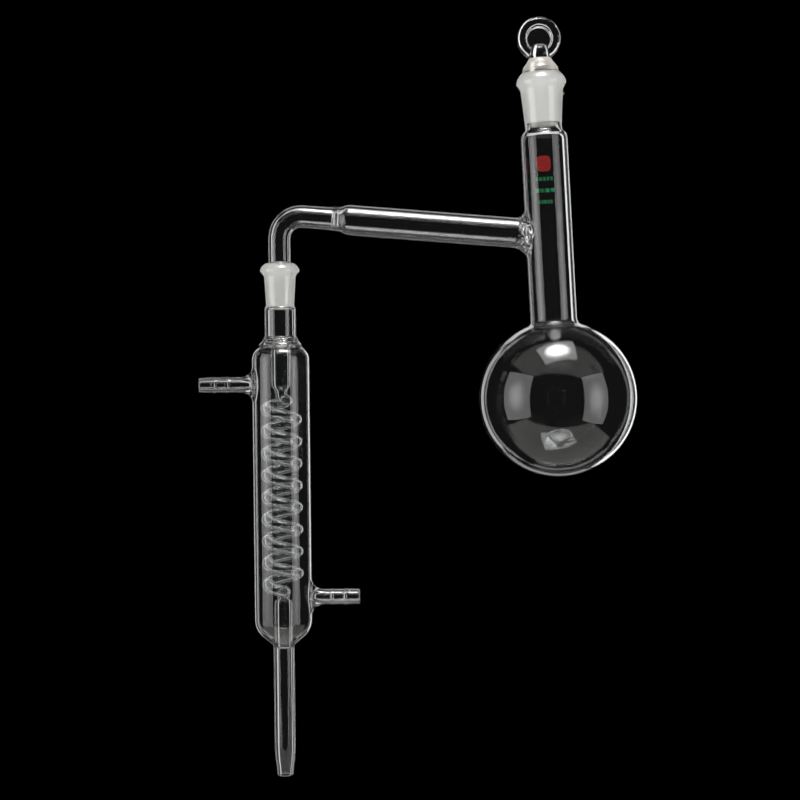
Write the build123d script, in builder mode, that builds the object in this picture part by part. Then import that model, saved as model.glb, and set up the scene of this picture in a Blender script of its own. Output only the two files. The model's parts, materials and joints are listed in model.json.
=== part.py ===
from build123d import *
import os
from math import atan2, cos, degrees, pi, radians, sin, tan

# Distilling flask with a penny-head stopper and a jacketed coil condenser, all in millimetres.
# The condenser's axis is Z and its drip tip stands on the origin. The flask is beside it at +X,
# joined by the side arm, and every axis of the set lies in the XZ plane.

os.makedirs("parts", exist_ok=True)

# ---------------------------------------------------------------- condenser, from the tip up
drip_od = 11.3
drip_wall = 1.5
drip_length = 69.2
tip_length = 14.0
tip_od = 8.7
tip_wall = 1.3
lower_seal_height = 2.2
lower_seal_od = 12.3
lower_cone_angle = 40.0
jacket_od = 31.1
jacket_wall = 1.2
jacket_length = 142.8
shoulder_radius = 8.0
shoulder_turn = 69.0
collar_height = 5.2
collar_overhang = 1.4
collar_edge = 0.5
seal_groove = 2.7
top_tube_length = 14.0
top_tube_od = 16.9
top_tube_wall = 1.6

# ---------------------------------------------------------------- tubes inside the jacket
vapour_od = 10.8
vapour_wall = 1.4
vapour_length = 18.9
vapour_taper = 5.9
coil_tube_od = 6.5
coil_tube_wall = 1.2
coil_clearance = 3.15
coil_pitch = 11.9
coil_start_angle = 100.0
coil_bend_gap = 0.25
drain_od = 9.8
drain_wall = 1.4
drain_length = 25.4
drain_shoulder = 3.0

# ---------------------------------------------------------------- hose connectors
hose_od = 8.9
hose_groove_od = 7.7
hose_root_od = 8.2
hose_bore = 5.0
hose_tooth = 7.2
hose_tooth_land = 1.0
hose_tooth_back = 0.6
hose_flare = 4.4
outlet_length = 28.6
outlet_below_shoulder = 13.5
inlet_length = 25.9
inlet_above_cone = 14.0

# ---------------------------------------------------------------- ground joints
ground_taper = 0.1
joint_gap = 0.03
mouth_lip = 0.9
mouth_flare = 0.2
small_joint_od = 14.5
small_joint_length = 23.0
small_socket_wall = 1.4
small_rim_wall = 1.55
small_shoulder = 3.0
small_throat = 1.2
small_rim_proud = 2.25
small_rim_height = 7.3
large_joint_od = 18.8
large_joint_length = 26.0
large_socket_wall = 1.8
large_rim_wall = 2.4
large_shoulder = 7.0
large_throat = 8.9
large_rim_proud = 2.0
large_rim_height = 9.7

# ---------------------------------------------------------------- flask
arm_rise = 4.95
neck_lean = 2.64
elbow_leg = 26.3
elbow_od = 12.0
elbow_wall = 1.3
elbow_bend = 12.0
elbow_reach = 28.5
weld_bead = 0.5
weld_pitch = 3.0
weld_flare = 6.0
arm_span = 146.1
arm_od = 16.2
arm_wall = 1.5
arm_root_length = 24.0
arm_root_flare = 5.0
arm_height = 88.0
cone_shoulder = 1.8
cone_foot = 0.6
neck_od = 25.1
neck_wall = 1.6
neck_length = 139.5
bulb_od = 85.0
bulb_wall = 1.9
bulb_fillet = 3.0
bulb_stub = 6.0
pip_od = 1.8

# ---------------------------------------------------------------- enamel on the neck's back
enamel = 0.12
badge_size = 9.0
badge_height = 128.0
bar_widths = (11.0, 12.5, 9.0)
bar_thickness = 2.6
bar_top = 119.7
bar_spacing = 6.3

# ---------------------------------------------------------------- stopper
plug_foot = 1.0
plug_proud = 0.7
head_shoulder_overlap = 0.3
head_shoulder_height = 2.4
waist_od = 11.6
waist_height = 8.6
dome_height = 15.0
head_od = 23.4
head_thickness = 6.0
head_centre = 17.5
head_rim_round = 2.0
head_recess_od = 14.6
head_recess_depth = 1.2

# ---------------------------------------------------------------- radii
drip_r, drip_bore = drip_od / 2, drip_od / 2 - drip_wall
tip_r, tip_bore = tip_od / 2, tip_od / 2 - tip_wall
lower_seal_r = lower_seal_od / 2
jacket_r, jacket_bore = jacket_od / 2, jacket_od / 2 - jacket_wall
top_r, top_bore = top_tube_od / 2, top_tube_od / 2 - top_tube_wall
vapour_r, vapour_bore = vapour_od / 2, vapour_od / 2 - vapour_wall
drain_r, drain_bore = drain_od / 2, drain_od / 2 - drain_wall
coil_r, coil_bore = coil_tube_od / 2, coil_tube_od / 2 - coil_tube_wall
coil_mean_r = jacket_bore - coil_clearance - coil_r
coil_bend = coil_r + coil_bend_gap
elbow_r, elbow_bore = elbow_od / 2, elbow_od / 2 - elbow_wall
arm_r, arm_bore = arm_od / 2, arm_od / 2 - arm_wall
neck_r, neck_bore = neck_od / 2, neck_od / 2 - neck_wall
bulb_r, bulb_bore = bulb_od / 2, bulb_od / 2 - bulb_wall

# ---------------------------------------------------------------- heights on the condenser
lower_seal_z = drip_length
jacket_foot_z = lower_seal_z + lower_seal_height
cone_corner_z = jacket_foot_z + (jacket_r - lower_seal_r) * tan(radians(lower_cone_angle))
cone_tangent = shoulder_radius * tan(radians(90 - lower_cone_angle) / 2)
jacket_low_z = cone_corner_z + cone_tangent
jacket_high_z = jacket_low_z + jacket_length
shoulder_inner = shoulder_radius - jacket_wall
shoulder_centre_r = jacket_r - shoulder_radius
jacket_top_z = jacket_high_z + shoulder_radius * sin(radians(shoulder_turn))
jacket_mouth_r = shoulder_centre_r + shoulder_radius * cos(radians(shoulder_turn))
seal_under_z = jacket_high_z + shoulder_inner * sin(radians(shoulder_turn))
seal_under_r = shoulder_centre_r + shoulder_inner * cos(radians(shoulder_turn))
collar_top_z = jacket_top_z + collar_height
socket_foot_z = collar_top_z + top_tube_length
small_band_low = socket_foot_z + small_throat
small_band_high = small_band_low + small_joint_length
small_mouth = small_band_high + mouth_lip
cone_top_z = small_band_high + cone_shoulder
elbow_z = small_mouth + elbow_leg
outlet_z = jacket_high_z - outlet_below_shoulder
inlet_z = jacket_low_z + inlet_above_cone

# ---------------------------------------------------------------- heights along the neck
stub_top = bulb_r + bulb_stub
large_band_low = neck_length + large_throat
large_band_high = large_band_low + large_joint_length
large_mouth = large_band_high + mouth_lip
plug_top = large_mouth + plug_proud

# ---------------------------------------------------------------- frames of the arm and neck
# In arm_plane, X runs along the arm from the condenser's axis to the neck and Y is up.
# In neck_plane, the origin is the bulb's centre and Y runs up the neck.
FRONT = (0, -1, 0)
arm_dir = Vector(cos(radians(arm_rise)), 0, -sin(radians(arm_rise)))
neck_dir = Vector(-sin(radians(neck_lean)), 0, cos(radians(neck_lean)))
neck_side = Vector(cos(radians(neck_lean)), 0, sin(radians(neck_lean)))
elbow_corner = Vector(0, 0, elbow_z)
bulb_centre = elbow_corner + arm_dir * arm_span - neck_dir * arm_height
arm_plane = Plane(elbow_corner, arm_dir, FRONT)
neck_plane = Plane(bulb_centre, neck_side, FRONT)
arm_axis = Axis(elbow_corner, arm_dir)
neck_axis = Axis(bulb_centre, neck_dir)


def across_arm(distance):
    """The plane across the arm at this distance from the condenser's axis."""
    return Plane(elbow_corner + arm_dir * distance, FRONT, arm_dir)


def across_neck(height):
    """The plane across the neck at this height above the bulb's centre."""
    return Plane(bulb_centre + neck_dir * height, neck_side, neck_dir)


def write(piece, name):
    piece.part.label = name
    export_step(piece.part, f"parts/{name}.step")


# ================================================================ condenser, lower end
# The drip tube narrows to a fire-polished tip.
with BuildPart() as drip_tube:
    with BuildSketch(Plane.XZ):
        with BuildLine():
            Polyline(
                (tip_bore, 0),
                (tip_r, 0),
                (drip_r, tip_length),
                (drip_r, lower_seal_z),
                (drip_bore, lower_seal_z),
                (drip_bore, tip_length),
                close=True,
            )
        make_face()
    revolve(axis=Axis.Z)
    fillet(drip_tube.edges().group_by(Axis.Z)[0], tip_wall * 0.3)
write(drip_tube, "drip_tube")

# The lower ring seal joins the drip tube, the drain tube above it and the jacket's foot.
with BuildPart() as lower_ring_seal:
    with BuildSketch(Plane.XZ):
        with BuildLine():
            Polyline(
                (drip_bore, lower_seal_z),
                (drip_r, lower_seal_z),
                (lower_seal_r, jacket_foot_z),
                (drain_bore, jacket_foot_z),
                close=True,
            )
        make_face()
    revolve(axis=Axis.Z)
write(lower_ring_seal, "lower_ring_seal")

# ================================================================ jacket
# A plain tube, drawn in to a cone below and to a round shoulder above.
foot_bore = drain_r
inner_corner_z = cone_corner_z + jacket_wall * tan(radians(90 - lower_cone_angle) / 2)
inner_foot_z = inner_corner_z - (jacket_bore - foot_bore) * tan(radians(lower_cone_angle))
with BuildPart() as jacket:
    with BuildSketch(Plane.XZ) as jacket_profile:
        with BuildLine():
            Polyline(
                (jacket_r, jacket_high_z),
                (jacket_r, cone_corner_z),
                (lower_seal_r, jacket_foot_z),
                (foot_bore, jacket_foot_z),
                (foot_bore, inner_foot_z),
                (jacket_bore, inner_corner_z),
                (jacket_bore, jacket_high_z),
            )
            outer_arc = JernArc((jacket_r, jacket_high_z), (0, 1), shoulder_radius, shoulder_turn)
            inner_arc = JernArc((jacket_bore, jacket_high_z), (0, 1), shoulder_inner, shoulder_turn)
            Line(outer_arc @ 1, inner_arc @ 1)
        make_face()
        outer_corner = jacket_profile.vertices().sort_by_distance((jacket_r, cone_corner_z))[0]
        fillet(outer_corner, shoulder_radius)
        inner_corner = jacket_profile.vertices().sort_by_distance((jacket_bore, inner_corner_z))[0]
        fillet(inner_corner, shoulder_inner)
    revolve(axis=Axis.Z)
    with BuildSketch(Plane.YZ):
        with Locations((0, inlet_z)):
            Circle(hose_bore / 2)
    extrude(amount=jacket_od, mode=Mode.SUBTRACT)
    with BuildSketch(Plane.YZ):
        with Locations((0, outlet_z)):
            Circle(hose_bore / 2)
    extrude(amount=-jacket_od, mode=Mode.SUBTRACT)
write(jacket, "jacket")


# ================================================================ hose connectors
def barb_outline(length):
    """Outline of a two-tooth hose barb, (distance from the condenser's axis, radius)."""
    end = jacket_r + length
    tooth, groove = hose_od / 2, hose_groove_od / 2
    first = end - hose_tooth
    second = first - hose_tooth
    return [
        (jacket_r, 0),
        (jacket_r, hose_root_od / 2),
        (second - hose_tooth_land - hose_tooth_back, hose_root_od / 2),
        (second - hose_tooth_land, tooth),
        (second, tooth),
        (first - hose_tooth_land - hose_tooth_back, groove),
        (first - hose_tooth_land, tooth),
        (first, tooth),
        (end, groove),
        (end, 0),
    ]


# Each connector's root flares into the jacket's wall; the jacket's own space is cut away.
connectors = (
    ("inlet_connector", 1, inlet_z, inlet_length),
    ("outlet_connector", -1, outlet_z, outlet_length),
)
for name, side, height, length in connectors:
    connector_plane = Plane((0, 0, height), (side, 0, 0), FRONT)
    with BuildPart(Plane((0, 0, height))) as connector:
        Cylinder(jacket_r, jacket_od)
        with BuildSketch(Plane((0, 0, height), (0, 1, 0), (side, 0, 0))):
            Circle(hose_root_od / 2)
        extrude(amount=jacket_r + length / 3)
        rings = connector.edges(Select.LAST).filter_by(GeomType.BSPLINE)
        fillet(rings, hose_flare)
        with BuildSketch(connector_plane):
            with BuildLine():
                Polyline(*barb_outline(length), close=True)
            make_face()
        revolve(axis=Axis((0, 0, height), (side, 0, 0)))
        Cylinder(jacket_r, jacket_od * 2, mode=Mode.SUBTRACT)
        with BuildSketch(Plane((0, 0, height), (0, 1, 0), (side, 0, 0))):
            Circle(hose_bore / 2)
        extrude(amount=jacket_r + length, mode=Mode.SUBTRACT)
    write(connector, name)

# ================================================================ condenser, upper end
# The upper ring seal is a collar that carries the vapour tube down into the jacket.
with BuildPart() as upper_ring_seal:
    with BuildSketch(Plane.XZ):
        with BuildLine():
            Polyline(
                (jacket_mouth_r, jacket_top_z),
                (jacket_mouth_r + collar_overhang, jacket_top_z),
                (jacket_mouth_r + collar_overhang, jacket_top_z + collar_edge),
                (top_r, collar_top_z),
                (top_bore, collar_top_z),
                (vapour_bore, seal_under_z),
                (vapour_r, seal_under_z),
                ((vapour_r + seal_under_r) / 2, seal_under_z + seal_groove),
                (seal_under_r, seal_under_z),
                close=True,
            )
        make_face()
    revolve(axis=Axis.Z)
write(upper_ring_seal, "upper_ring_seal")

with BuildPart() as top_tube:
    with BuildSketch(Plane.XY.offset(collar_top_z)):
        Circle(top_r)
        Circle(top_bore, mode=Mode.SUBTRACT)
    extrude(amount=top_tube_length)
write(top_tube, "top_tube")


# ================================================================ ground sockets
def narrow_bore(joint_od, length):
    """Radius of a ground joint's small end."""
    return joint_od / 2 - ground_taper / 2 * length


def draw_socket(foot, shoulder, throat, joint_od, length, walls, rim_proud, rim_height):
    """Outline of a ground socket: foot is its tube's height, radius and bore, and walls are
    its wall at the narrow end and under the rim."""
    foot_h, foot_r, foot_b = foot
    low = foot_h + throat
    high = low + length
    mouth = high + mouth_lip
    narrow = narrow_bore(joint_od, length)
    neck_h = foot_h + shoulder
    neck_out = narrow + ground_taper / 2 * (neck_h - low) + walls[0]
    rim_low = mouth - rim_height
    rim_out = narrow + ground_taper / 2 * (rim_low - low) + walls[1]
    mouth_b = joint_od / 2 + mouth_flare
    turn = min(throat, shoulder)
    with BuildLine() as outline:
        Bezier(
            (foot_r, foot_h),
            (foot_r, foot_h + shoulder * 0.7),
            (neck_out, foot_h + shoulder * 0.4),
            (neck_out, neck_h),
        )
        Line((neck_out, neck_h), (rim_out, rim_low))
        ThreePointArc(
            (rim_out, rim_low),
            (rim_out + rim_proud, rim_low + rim_height * 0.45),
            (mouth_b + walls[1] * 0.6, mouth),
        )
        Polyline(
            (mouth_b + walls[1] * 0.6, mouth),
            (mouth_b, mouth),
            (joint_od / 2, high),
            (narrow, low),
        )
        Bezier(
            (narrow, low),
            (narrow, foot_h + turn * 0.4),
            (foot_b, foot_h + turn * 0.5),
            (foot_b, foot_h),
        )
        Line((foot_b, foot_h), (foot_r, foot_h))
    return outline.line


small_socket = draw_socket(
    (socket_foot_z, top_r, top_bore),
    small_shoulder,
    small_throat,
    small_joint_od,
    small_joint_length,
    (small_socket_wall, small_rim_wall),
    small_rim_proud,
    small_rim_height,
)
with BuildPart() as condenser_socket:
    with BuildSketch(Plane.XZ):
        make_face(small_socket)
    revolve(axis=Axis.Z)
write(condenser_socket, "condenser_socket")

large_socket = draw_socket(
    (neck_length, neck_r, neck_bore),
    large_shoulder,
    large_throat,
    large_joint_od,
    large_joint_length,
    (large_socket_wall, large_rim_wall),
    large_rim_proud,
    large_rim_height,
)
pip_height = large_mouth - large_rim_height - pip_od
pip_r = narrow_bore(large_joint_od, large_joint_length) + large_rim_wall
pip_r += ground_taper / 2 * (pip_height - large_band_low)
with BuildPart() as neck_socket:
    with BuildSketch(neck_plane):
        make_face(large_socket)
    revolve(axis=neck_axis)
    with Locations(bulb_centre + neck_dir * pip_height + neck_side * pip_r):
        Sphere(pip_od / 2)
write(neck_socket, "neck_socket")

# ================================================================ tubes inside the jacket
coil_top_z = seal_under_z - vapour_length - vapour_taper
coil_foot_z = jacket_foot_z + drain_length

with BuildPart() as vapour_tube:
    with BuildSketch(Plane.XZ):
        with BuildLine():
            Polyline(
                (coil_bore, coil_top_z),
                (coil_r, coil_top_z),
                (vapour_r, coil_top_z + vapour_taper),
                (vapour_r, seal_under_z),
                (vapour_bore, seal_under_z),
                (vapour_bore, coil_top_z + vapour_taper),
                close=True,
            )
        make_face()
    revolve(axis=Axis.Z)
write(vapour_tube, "vapour_tube")

with BuildPart() as drain_tube:
    with BuildSketch(Plane.XZ):
        with BuildLine():
            Polyline(
                (drain_bore, jacket_foot_z),
                (drain_r, jacket_foot_z),
                (drain_r, coil_foot_z - drain_shoulder),
                (coil_r, coil_foot_z),
                (coil_bore, coil_foot_z),
                (drain_bore, coil_foot_z - drain_shoulder),
                close=True,
            )
        make_face()
    revolve(axis=Axis.Z)
write(drain_tube, "drain_tube")

# The coil leaves the vapour tube on the axis, bends out to the helix, runs down it left-handed
# and bends back to the axis. Each end is an arc in a standing plane, then a small helix with
# the coil's own slope that meets the large one where they touch.
slope = atan2(coil_pitch, 2 * pi * coil_mean_r)
arc_out = coil_bend * (1 - sin(slope))
arc_drop = coil_bend * cos(slope)
curl_r = (coil_mean_r**2 - arc_out**2) / (2 * coil_mean_r)
curl_turn = 180 - degrees(atan2(arc_out, curl_r))
curl_pitch = coil_pitch * curl_r / coil_mean_r
curl_drop = curl_pitch * curl_turn / 360
helix_top = coil_top_z - arc_drop - curl_drop
helix_foot = coil_foot_z + arc_drop + curl_drop
coil_turns = (helix_top - helix_foot) / coil_pitch
end_angle = coil_start_angle + 360 * coil_turns


def curl(angle, lowest, first_angle):
    """A curl that touches the coil at angle, drawn from its lowest point upward."""
    centre = Vector(coil_mean_r - curl_r, 0, 0).rotate(Axis.Z, angle)
    wire = Helix(curl_pitch, curl_drop, curl_r, lefthand=True, mode=Mode.PRIVATE)
    return wire.rotate(Axis.Z, first_angle).translate(centre + Vector(0, 0, lowest))


main_helix = Helix(
    coil_pitch, helix_top - helix_foot, coil_mean_r, lefthand=True, mode=Mode.PRIVATE
)
main_helix = main_helix.rotate(Axis.Z, end_angle).translate(Vector(0, 0, helix_foot))
upper_curl = curl(coil_start_angle, helix_top, coil_start_angle)
lower_curl = curl(end_angle, helix_foot - curl_drop, end_angle + curl_turn)

with BuildPart() as coil:
    with BuildLine() as coil_path:
        add(upper_curl)
        add(main_helix)
        add(lower_curl)
        TangentArc(upper_curl @ 1, (0, 0, coil_top_z), tangent=upper_curl % 1)
        TangentArc(lower_curl @ 0, (0, 0, coil_foot_z), tangent=(lower_curl % 0) * -1)
    with BuildSketch(Plane.XY.offset(coil_top_z)):
        Circle(coil_r)
        Circle(coil_bore, mode=Mode.SUBTRACT)
    sweep(path=coil_path.line)
write(coil, "coil")

# ================================================================ flask, elbow end
# The ground cone that carries the condenser, with a running gap to its socket.
cone_narrow = narrow_bore(small_joint_od, small_joint_length)
with BuildPart() as arm_cone:
    with BuildSketch(Plane.XZ):
        with BuildLine():
            Polyline(
                (elbow_bore, cone_top_z),
                (elbow_r, cone_top_z),
                (small_joint_od / 2 - joint_gap, small_band_high),
                (cone_narrow - joint_gap, small_band_low),
                (cone_narrow - joint_gap - cone_foot / 2, small_band_low - cone_foot),
                (elbow_bore, small_band_low - cone_foot),
                close=True,
            )
        make_face()
    revolve(axis=Axis.Z)
write(arm_cone, "arm_cone")

with BuildPart() as elbow_tube:
    with BuildLine() as elbow_path:
        FilletPolyline(
            (0, 0, cone_top_z),
            elbow_corner,
            elbow_corner + arm_dir * elbow_reach,
            radius=elbow_bend,
        )
    with BuildSketch(Plane.XY.offset(cone_top_z)):
        Circle(elbow_r)
        Circle(elbow_bore, mode=Mode.SUBTRACT)
    sweep(path=elbow_path.line)
write(elbow_tube, "elbow_tube")

# The weld between the two tubes is two soft beads and a flare.
weld_end = elbow_reach + weld_pitch + weld_flare
with BuildPart() as elbow_weld:
    with BuildSketch(arm_plane):
        with BuildLine():
            Spline(
                (elbow_reach, elbow_r),
                (elbow_reach + weld_pitch * 0.35, elbow_r + weld_bead),
                (elbow_reach + weld_pitch * 0.7, elbow_r - weld_bead / 2),
                (elbow_reach + weld_pitch, elbow_r + weld_bead / 2),
                (elbow_reach + weld_pitch + weld_flare * 0.35, elbow_r + weld_bead),
                (weld_end, arm_r),
                tangents=((1, 0), (1, 0)),
            )
            Polyline(
                (weld_end, arm_r),
                (weld_end, arm_bore),
                (elbow_reach + weld_pitch, elbow_bore),
                (elbow_reach, elbow_bore),
                (elbow_reach, elbow_r),
            )
        make_face()
    revolve(axis=arm_axis)
write(elbow_weld, "elbow_weld")

with BuildPart() as side_arm_tube:
    with BuildSketch(across_arm(weld_end)):
        Circle(arm_r)
        Circle(arm_bore, mode=Mode.SUBTRACT)
    extrude(amount=arm_span - arm_root_length - weld_end)
write(side_arm_tube, "side_arm_tube")

# The arm's root flares into the neck's wall; the neck's own space is cut away.
with BuildPart() as side_arm_root:
    with BuildSketch(across_neck(arm_height - neck_od)):
        Circle(neck_r)
    extrude(amount=neck_od * 2)
    with BuildSketch(across_arm(arm_span - arm_root_length)):
        Circle(arm_r)
    extrude(amount=arm_root_length)
    arm_rings = side_arm_root.edges(Select.LAST).filter_by(GeomType.BSPLINE)
    fillet(arm_rings, arm_root_flare)
    with BuildSketch(across_neck(arm_height - neck_od * 2)):
        Circle(neck_r)
    extrude(amount=neck_od * 4, mode=Mode.SUBTRACT)
    with BuildSketch(across_arm(arm_span - arm_root_length)):
        Circle(arm_bore)
    extrude(amount=arm_root_length, mode=Mode.SUBTRACT)
write(side_arm_root, "side_arm_root")

# ================================================================ flask, neck and bulb
with BuildPart() as neck_tube:
    with BuildSketch(across_neck(stub_top)):
        Circle(neck_r)
        Circle(neck_bore, mode=Mode.SUBTRACT)
    extrude(amount=neck_length - stub_top)
    with BuildSketch(across_arm(arm_span - arm_root_length)):
        Circle(arm_bore)
    extrude(amount=arm_root_length, mode=Mode.SUBTRACT)
write(neck_tube, "neck_tube")


def draw_bulb(ball_r, tube_r, root_fillet):
    """Half the section of a ball with a short tube on top, with a filleted root."""
    with BuildSketch(neck_plane) as half:
        Circle(ball_r)
        with Locations((0, stub_top / 2)):
            Rectangle(tube_r * 2, stub_top)
        root = half.vertices().sort_by_distance((tube_r, ball_r))[0]
        fillet(root, root_fillet)
        with Locations((-ball_r, 0)):
            Rectangle(ball_r * 2, ball_r * 4, mode=Mode.SUBTRACT)
    return half.sketch


bulb_outside = draw_bulb(bulb_r, neck_r, bulb_fillet)
bulb_inside = draw_bulb(bulb_bore, neck_bore, bulb_fillet + bulb_wall)
with BuildPart() as bulb:
    revolve(bulb_outside, axis=neck_axis)
    revolve(bulb_inside, axis=neck_axis, mode=Mode.SUBTRACT)
write(bulb, "bulb")

# ================================================================ enamel on the neck's back
with BuildPart() as enamel_badge:
    with BuildSketch(across_neck(badge_height - badge_size / 2)):
        Circle(neck_r + enamel)
        Circle(neck_r, mode=Mode.SUBTRACT)
    extrude(amount=badge_size)
    with BuildSketch(neck_plane):
        with Locations((0, badge_height)):
            Rectangle(badge_size, badge_size * 1.5)
    extrude(amount=-neck_od, mode=Mode.INTERSECT)
write(enamel_badge, "enamel_badge")

with BuildPart() as enamel_bars:
    for row in range(len(bar_widths)):
        bar_middle = bar_top - row * bar_spacing
        with BuildSketch(across_neck(bar_middle - bar_thickness / 2)):
            Circle(neck_r + enamel)
            Circle(neck_r, mode=Mode.SUBTRACT)
        extrude(amount=bar_thickness)
    with BuildSketch(neck_plane):
        for row, width in enumerate(bar_widths):
            with Locations((0, bar_top - row * bar_spacing)):
                Rectangle(width, bar_thickness * 1.5)
    extrude(amount=-neck_od, mode=Mode.INTERSECT)
write(enamel_bars, "enamel_bars")

# ================================================================ stopper
plug_narrow = narrow_bore(large_joint_od, large_joint_length) - joint_gap
plug_wide = large_joint_od / 2 - joint_gap
with BuildPart() as stopper_plug:
    with BuildSketch(neck_plane):
        with BuildLine():
            Polyline(
                (0, large_band_low - plug_foot),
                (plug_narrow - plug_foot, large_band_low - plug_foot),
                (plug_narrow, large_band_low),
                (plug_wide, large_band_high),
                (plug_wide, plug_top),
                (0, plug_top),
                close=True,
            )
        make_face()
    revolve(axis=neck_axis)
write(stopper_plug, "stopper_plug")

# The head is one pressing: a shoulder, a waist that ends in a dome, and an upright penny.
shoulder_r = large_joint_od / 2 + head_shoulder_overlap
waist_r = waist_od / 2
with BuildPart() as stopper_head:
    with BuildSketch(neck_plane):
        with Locations((0, plug_top + head_centre)):
            Circle(head_od / 2)
    extrude(amount=head_thickness / 2, both=True)
    fillet(stopper_head.edges().filter_by(GeomType.CIRCLE), head_rim_round)
    for side in (1, -1):
        floor = side * (head_thickness / 2 - head_recess_depth)
        with BuildSketch(neck_plane.offset(floor)):
            with Locations((0, plug_top + head_centre)):
                Circle(head_recess_od / 2)
        extrude(amount=side * head_recess_depth, mode=Mode.SUBTRACT)
    with BuildSketch(neck_plane):
        with BuildLine():
            Polyline(
                (0, plug_top + dome_height),
                (0, plug_top),
                (shoulder_r, plug_top),
                (shoulder_r, plug_top + head_shoulder_height),
            )
            Bezier(
                (shoulder_r, plug_top + head_shoulder_height),
                (waist_r, plug_top + head_shoulder_height + 1),
                (waist_r, plug_top + waist_height / 2),
                (waist_r, plug_top + waist_height),
            )
            Bezier(
                (waist_r, plug_top + waist_height),
                (waist_r, plug_top + dome_height - 1),
                (waist_r / 2, plug_top + dome_height),
                (0, plug_top + dome_height),
            )
        make_face()
    revolve(axis=neck_axis)
write(stopper_head, "stopper_head")
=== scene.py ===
import json
from math import asin, atan2, cos, degrees, pi, radians, sin, sqrt, tan
import bmesh
import bpy
import numpy as np
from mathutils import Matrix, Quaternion, Vector


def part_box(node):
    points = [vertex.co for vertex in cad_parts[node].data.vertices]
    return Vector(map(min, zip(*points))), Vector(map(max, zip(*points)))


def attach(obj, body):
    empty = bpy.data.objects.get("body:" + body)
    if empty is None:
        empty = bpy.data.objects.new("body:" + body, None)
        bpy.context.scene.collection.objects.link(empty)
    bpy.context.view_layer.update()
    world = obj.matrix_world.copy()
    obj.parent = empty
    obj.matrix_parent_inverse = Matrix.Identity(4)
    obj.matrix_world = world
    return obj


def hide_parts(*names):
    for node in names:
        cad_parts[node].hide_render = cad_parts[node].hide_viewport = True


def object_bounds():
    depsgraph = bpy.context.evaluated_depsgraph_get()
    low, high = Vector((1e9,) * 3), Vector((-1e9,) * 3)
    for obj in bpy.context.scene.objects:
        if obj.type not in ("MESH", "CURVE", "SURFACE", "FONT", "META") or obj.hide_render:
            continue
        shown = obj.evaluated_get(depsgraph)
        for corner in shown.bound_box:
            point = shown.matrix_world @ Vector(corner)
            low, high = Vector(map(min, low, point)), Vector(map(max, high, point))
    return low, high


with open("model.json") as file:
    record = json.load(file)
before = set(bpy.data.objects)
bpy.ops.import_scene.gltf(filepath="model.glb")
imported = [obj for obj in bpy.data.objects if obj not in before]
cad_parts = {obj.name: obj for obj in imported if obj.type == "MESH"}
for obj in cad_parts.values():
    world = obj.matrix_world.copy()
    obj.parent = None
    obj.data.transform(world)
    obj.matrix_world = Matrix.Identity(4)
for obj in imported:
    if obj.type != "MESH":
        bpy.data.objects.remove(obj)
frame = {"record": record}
cad_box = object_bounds()

# ---- The set on its stand-in bench: camera, black surround, pale floor and studio lights.
# Clear glass shows by what it mirrors and bends. Two tall soft boxes stand at its sides,
# four boxes behind it draw its edges in light, and one above and one below light its ends.
MM = 0.001
scene = bpy.context.scene
whole_low, whole_high = (Vector(corner) for corner in cad_box)
middle = (whole_low + whole_high) / 2
lens_length, camera_roll = 76.5, 0.56
camera_place, camera_target = (0.064, -0.919, 0.228), (0.0642, 0, 0.2033)
box_core, box_rim = 0.03, 0.42
surround_on_glass, surround_on_matt, exposure = 0.005, 0.42, 0.3


def aim(thing, place, target, roll=0.0):
    """Turns a camera or a lamp at place to look at target, rolled about its own axis."""
    thing.location = place
    turn = (Vector(target) - Vector(place)).to_track_quat("-Z", "Y")
    thing.rotation_euler = (turn @ Quaternion((0, 0, 1), roll)).to_euler()


def put(tree, kind, values=None, **settings):
    """Adds a shader node with its settings, and its inputs by name or number."""
    node = tree.nodes.new("ShaderNode" + kind)
    for name, value in settings.items():
        setattr(node, name, value)
    for socket, value in (values or {}).items():
        node.inputs[socket].default_value = value
    return node


def wire(tree, *runs):
    """Links nodes: each run is a node, its output, the next node and its input."""
    for source, output, target, entry in runs:
        tree.links.new(source.outputs[output], target.inputs[entry])


camera = bpy.data.objects.new("camera", bpy.data.cameras.new("camera"))
scene.collection.objects.link(camera)
camera.data.sensor_width = 36
camera.data.lens = lens_length
camera.data.clip_start = 0.05
aim(camera, camera_place, camera_target, roll=-radians(camera_roll))
scene.camera = camera


def soft_box(name, place, size, power, glow=0.0, through=True, shape="RECTANGLE"):
    """A studio lamp that shows in the glass but not as itself, and through the glass only
    where it says so. Its cloth is brighter in the middle: one plus the glow, fading with
    the distance from the middle to the rim."""
    lamp = bpy.data.lights.new(name, "AREA")
    lamp.shape = shape
    lamp.size, lamp.size_y = size
    lamp.energy = power
    lamp.use_nodes = True
    tree = lamp.node_tree
    cloth = put(tree, "NewGeometry")
    spread = put(tree, "VectorMath", {1: (0.5, 0.5, 0.0)}, operation="DISTANCE")
    reach = {"From Min": box_core, "From Max": box_rim, "To Min": 1 + glow, "To Max": 1 - glow / 4}
    fall = put(tree, "MapRange", reach, interpolation_type="SMOOTHSTEP")
    wire(
        tree,
        (cloth, "Parametric", spread, 0),
        (spread, "Value", fall, "Value"),
        (fall, "Result", tree.nodes["Emission"], "Strength"),
    )
    lamp_object = bpy.data.objects.new(name, lamp)
    scene.collection.objects.link(lamp_object)
    lamp_object.visible_camera = False
    lamp_object.visible_transmission = through
    aim(lamp_object, place, middle)


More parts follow.
